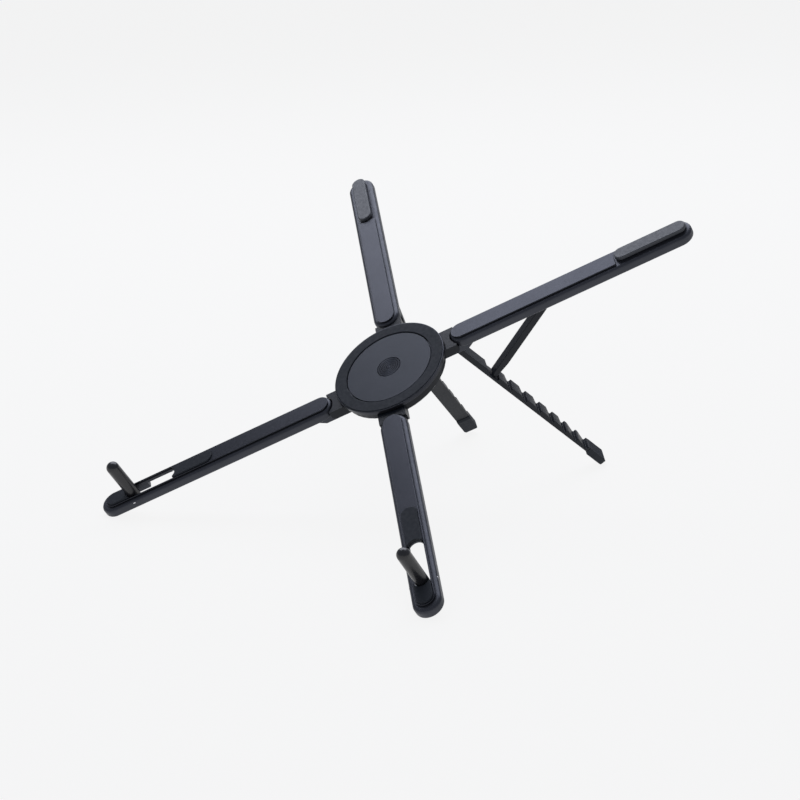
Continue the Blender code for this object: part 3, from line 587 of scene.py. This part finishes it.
def make_hinge(name):
    body = name + "_arm_body"
    make_pin(name + "_hinge_pin", ARMS[name], HINGE_R, HINGE_Z, HINGE_PIN_RADIUS,
             CHEEK_OUTER - 0.1, DARK_STEEL, "blackened_steel", body, name + "_arm_pin")
    for label in ("near", "far"):
        dress("%s_washer_%s" % (name, label), DARK_STEEL)


def make_front(name):
    place, body = ARMS[name], name + "_arm_body"
    make_arm(name, FRONT_ARM_END, FRONT_CHANNEL_END, FRONT_CHANNEL_ROOF, True)
    for label, start, end in (("inner", FRONT_PAD_START, SLOT_START + PAD_HORN),
                              ("outer", PEG_R + SLOT_HALF_WIDTH - PAD_HORN, OUTER_PAD_END)):
        def outline(inset, label=label, start=start, end=end):
            corners = {"inner": (None, 0.3), "outer": (0.3, None)}[label]
            return strip(start, end, FRONT_PAD_HALF_WIDTH, inset, *corners, steps=12)
        pad = make_pad(name + "_" + label + "_pad", outline, SHOULDER - 0.1, FRONT_PAD_TOP, 0.35,
                       place, body, name + "_pad_" + label)
        cut(pad, slot_tool(0.15))
        soften(pad, 0.15)
    stands_for(piece(name + "_tip_foot", foot_mesh(), place, RUBBER), body, "soft_rubber",
               name + "_foot")

    profile = (arc((0, PEG_LENGTH - PEG_RADIUS), PEG_RADIUS, 90, 0, 14)
               + arc((0, 0), PEG_RADIUS, 0, -90, 14))
    at = turned_place(place, PEG_R, PEG_Z, 0)
    make_turned(name + "_stop", profile, at, GLOSS_PLASTIC, name + "_peg", "dark_plastic", 64,
                name + "_peg_body")
    make_pin(name + "_stop_pin", place, PEG_R, PEG_Z, PEG_PIN_RADIUS, ARM_HALF_WIDTH - 0.02,
             STEEL, "polished_steel", body, name + "_peg_pin")


def foot_mesh():
    bm = bmesh.new()
    edge = 0.4
    profile = [(0, TIP_FOOT_TOP)] + fillet_profile(edge, edge, TIP_FOOT_BOTTOM + edge, 180,
                                                        270, 4)
    add_loft(bm, loops_of(lambda inset: strip(TIP_FOOT_START, TIP_FOOT_END, TIP_FOOT_HALF_WIDTH,
                                              inset, steps=12), profile))
    return bm


# ---------------------------------------------------------------- rail legs
def notch_walls():
    walls = [NOTCH_FIRST, NOTCH_SECOND]
    for number in range(NOTCH_COUNT - 2):
        walls.append(walls[-1] + NOTCH_PITCH + NOTCH_PITCH_STEP * number)
    return walls


def rail_outline():
    """Side view of the rail beyond its ears."""
    floor = RAIL_TOP - NOTCH_DEPTH
    points = [(EAR_END, RAIL_BACK), (EAR_END, RAIL_TOP)]
    for number, wall in enumerate(notch_walls()):
        fall, flat = RAMP, FLOOR
        if number == 0:
            fall, flat = FIRST_RAMP, FIRST_FLOOR
        elif number >= NOTCH_COUNT - 2:
            fall = LAST_RAMP
        points += [(wall - flat - fall, RAIL_TOP), (wall - flat, floor), (wall, floor),
                   (wall, RAIL_TOP)]
    end = FOOT_START - 0.15
    return points + [(end, RAIL_TOP), (end, RAIL_BACK)]


def make_leg(name):
    place, body = ARMS[name], name + "_rail_body"
    at = turned_place(place, HINGE_R, HINGE_Z, RAIL_ANGLE)
    bm = bmesh.new()
    add_slab(bm, rail_outline(), -RAIL_HALF_WIDTH, RAIL_HALF_WIDTH)
    rail = piece(name + "_rack", bm, at, DARK_PLASTIC)
    bm = bmesh.new()
    add_slab(bm, [(-5, -EAR_INNER), (FORK_END, -EAR_INNER), (FORK_END, EAR_INNER),
                  (-5, EAR_INNER)], -6, 6, "z")
    cut(rail, bm)
    soften(rail, 0.22)
    stands_for(rail, body, "dark_plastic", name + "_rail")
    bm = bmesh.new()
    for side in (-1, 1):
        low, high = sorted((side * EAR_INNER, side * EAR_OUTER))
        outline = arc((0, 0), KNUCKLE_RADIUS, 270, 60, 18) + [(EAR_END + 1, RAIL_TOP - 0.05),
                                                            (EAR_END + 1, RAIL_BACK + 0.05)]
        add_slab(bm, outline, low, high)
    ears = soften(piece(name + "_rack_ears", bm, at, DARK_PLASTIC), 0.15)
    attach(ears, body)

    bm = bmesh.new()
    outline = rounded([
        (FOOT_START, FOOT_BACK + 0.8, 0.2), (FOOT_START + 1.2, FOOT_BACK, 0.3),
        (RAIL_LENGTH - 1.0, FOOT_BACK, 0.6), (RAIL_LENGTH, FOOT_BACK + 1.0, 0.6),
        (RAIL_LENGTH - 0.6, RAIL_TOP - 1.0, 0.8), (RAIL_LENGTH - 2.6, RAIL_TOP, 0.8),
        (FOOT_START, RAIL_TOP, 0.2)], 0.2)
    add_slab(bm, outline, -RAIL_HALF_WIDTH, RAIL_HALF_WIDTH)
    foot = piece(name + "_boot", bm, at, RUBBER)
    bm = bmesh.new()
    add_slab(bm, strip(FOOT_START - 6, RAIL_LENGTH, RAIL_HALF_WIDTH, 0, 0.3, FOOT_CORNER, 6), -9,
             9, "z")
    cut(foot, bm, "INTERSECT")
    soften(foot, 0.3, 3)
    stands_for(foot, body, "soft_rubber", name + "_rail_foot")

    body = name + "_strut_body"
    at = turned_place(place, STRUT_R, STRUT_Z, 2 * RAIL_ANGLE)
    slant = STRUT_HALF_HEIGHT / math.tan(math.radians(RAIL_ANGLE))
    bm = bmesh.new()
    outline = (arc((0, 0), STRUT_HALF_HEIGHT, 90, 270, 18)
               + [(STRUT_LENGTH - slant, -STRUT_HALF_HEIGHT),
                  (STRUT_LENGTH + slant * 0.4, STRUT_HALF_HEIGHT * 0.4),
                  (STRUT_LENGTH - 10, STRUT_HALF_HEIGHT)])
    add_slab(bm, outline, -STRUT_HALF_WIDTH, STRUT_HALF_WIDTH)
    strut = soften(piece(name + "_prop", bm, at, DARK_PLASTIC), 0.25)
    stands_for(strut, body, "dark_plastic", name + "_strut")
    make_pin(name + "_prop_pin", place, STRUT_R, STRUT_Z, STRUT_PIN_RADIUS,
             STRUT_PIN_HALF_LENGTH, STEEL, "polished_steel", name + "_arm_body",
             name + "_strut_pin")


def make_rear(name):
    make_arm(name, REAR_ARM_END, REAR_CHANNEL_END, REAR_CHANNEL_ROOF, False)
    make_pad(name + "_long_pad",
             lambda inset: strip(REAR_PAD_START, REAR_PAD_END, REAR_PAD_HALF_WIDTH, inset,
                                 steps=12),
             PLATEAU_TOP - 0.1, REAR_PAD_TOP, 0.5, ARMS[name], name + "_arm_body", name + "_pad",
             SATIN_RUBBER)
    make_leg(name)


for arm_name in FRONT:
    make_front(arm_name)
for arm_name in REAR:
    make_rear(arm_name)
for arm_name in FRONT + REAR:
    make_hinge(arm_name)


# ---------------------------------------------------------------- studio
def make_floor():
    """A plain pale floor, which gives off most of its light itself and so stays even."""
    mesh = bpy.data.meshes.new("floor")
    size = 6.0
    mesh.from_pydata([(-size, -size, 0), (size, -size, 0), (size, size, 0), (-size, size, 0)], [],
                     [(0, 1, 2, 3)])
    floor = bpy.data.objects.new("floor", mesh)
    bpy.context.scene.collection.objects.link(floor)
    paper = bpy.data.materials.new("paper")
    paper.use_nodes = True
    shader = paper.node_tree.nodes["Principled BSDF"]
    shader.inputs["Base Color"].default_value = (0.05, 0.05, 0.05, 1)
    shader.inputs["Roughness"].default_value = 1.0
    shader.inputs["Specular IOR Level"].default_value = 0.0
    shader.inputs["Emission Color"].default_value = (1, 1, 1, 1)
    shader.inputs["Emission Strength"].default_value = 0.875
    mesh.materials.append(paper)


def area_light(name, position, target, size, power):
    data = bpy.data.lights.new(name, "AREA")
    data.shape = "RECTANGLE"
    data.size, data.size_y = size
    data.energy = power
    data.color = (0.94, 0.97, 1.08)
    lamp = bpy.data.objects.new(name, data)
    lamp.location = position
    lamp.rotation_euler = (Vector(target) - Vector(position)).to_track_quat("-Z", "Y").to_euler()
    bpy.context.scene.collection.objects.link(lamp)


def make_camera():
    """The camera looks from the front right, a little from above, and leans by the roll."""
    azimuth, elevation, roll = math.radians(44.35), math.radians(17.16), math.radians(-3.20)
    distance, lens = 1.0087, 90.98
    target = Vector((0.00687, -0.00493, 0.05685))
    direction = Vector((math.sin(azimuth) * math.cos(elevation),
                        -math.cos(azimuth) * math.cos(elevation), math.sin(elevation)))
    data = bpy.data.cameras.new("camera")
    data.lens = lens
    data.sensor_width = 36.0
    data.clip_start = 0.01
    camera = bpy.data.objects.new("camera", data)
    camera.rotation_euler = ((-direction).to_track_quat("-Z", "Y").to_matrix()
                             @ Matrix.Rotation(roll, 3, "Z")).to_euler()
    camera.location = target + direction * distance
    bpy.context.scene.collection.objects.link(camera)
    bpy.context.scene.camera = camera


make_floor()
world = bpy.data.worlds.new("studio")
world.use_nodes = True
world.node_tree.nodes["Background"].inputs["Color"].default_value = (0.92, 0.97, 1.10, 1)
world.node_tree.nodes["Background"].inputs["Strength"].default_value = 0.36
bpy.context.scene.world = world
bpy.context.scene.view_settings.view_transform = "Standard"
area_light("key", (-0.52, 0.56, 1.10), (0.0, 0.0, 0.08), (1.5, 1.1), 17.0)
make_camera()
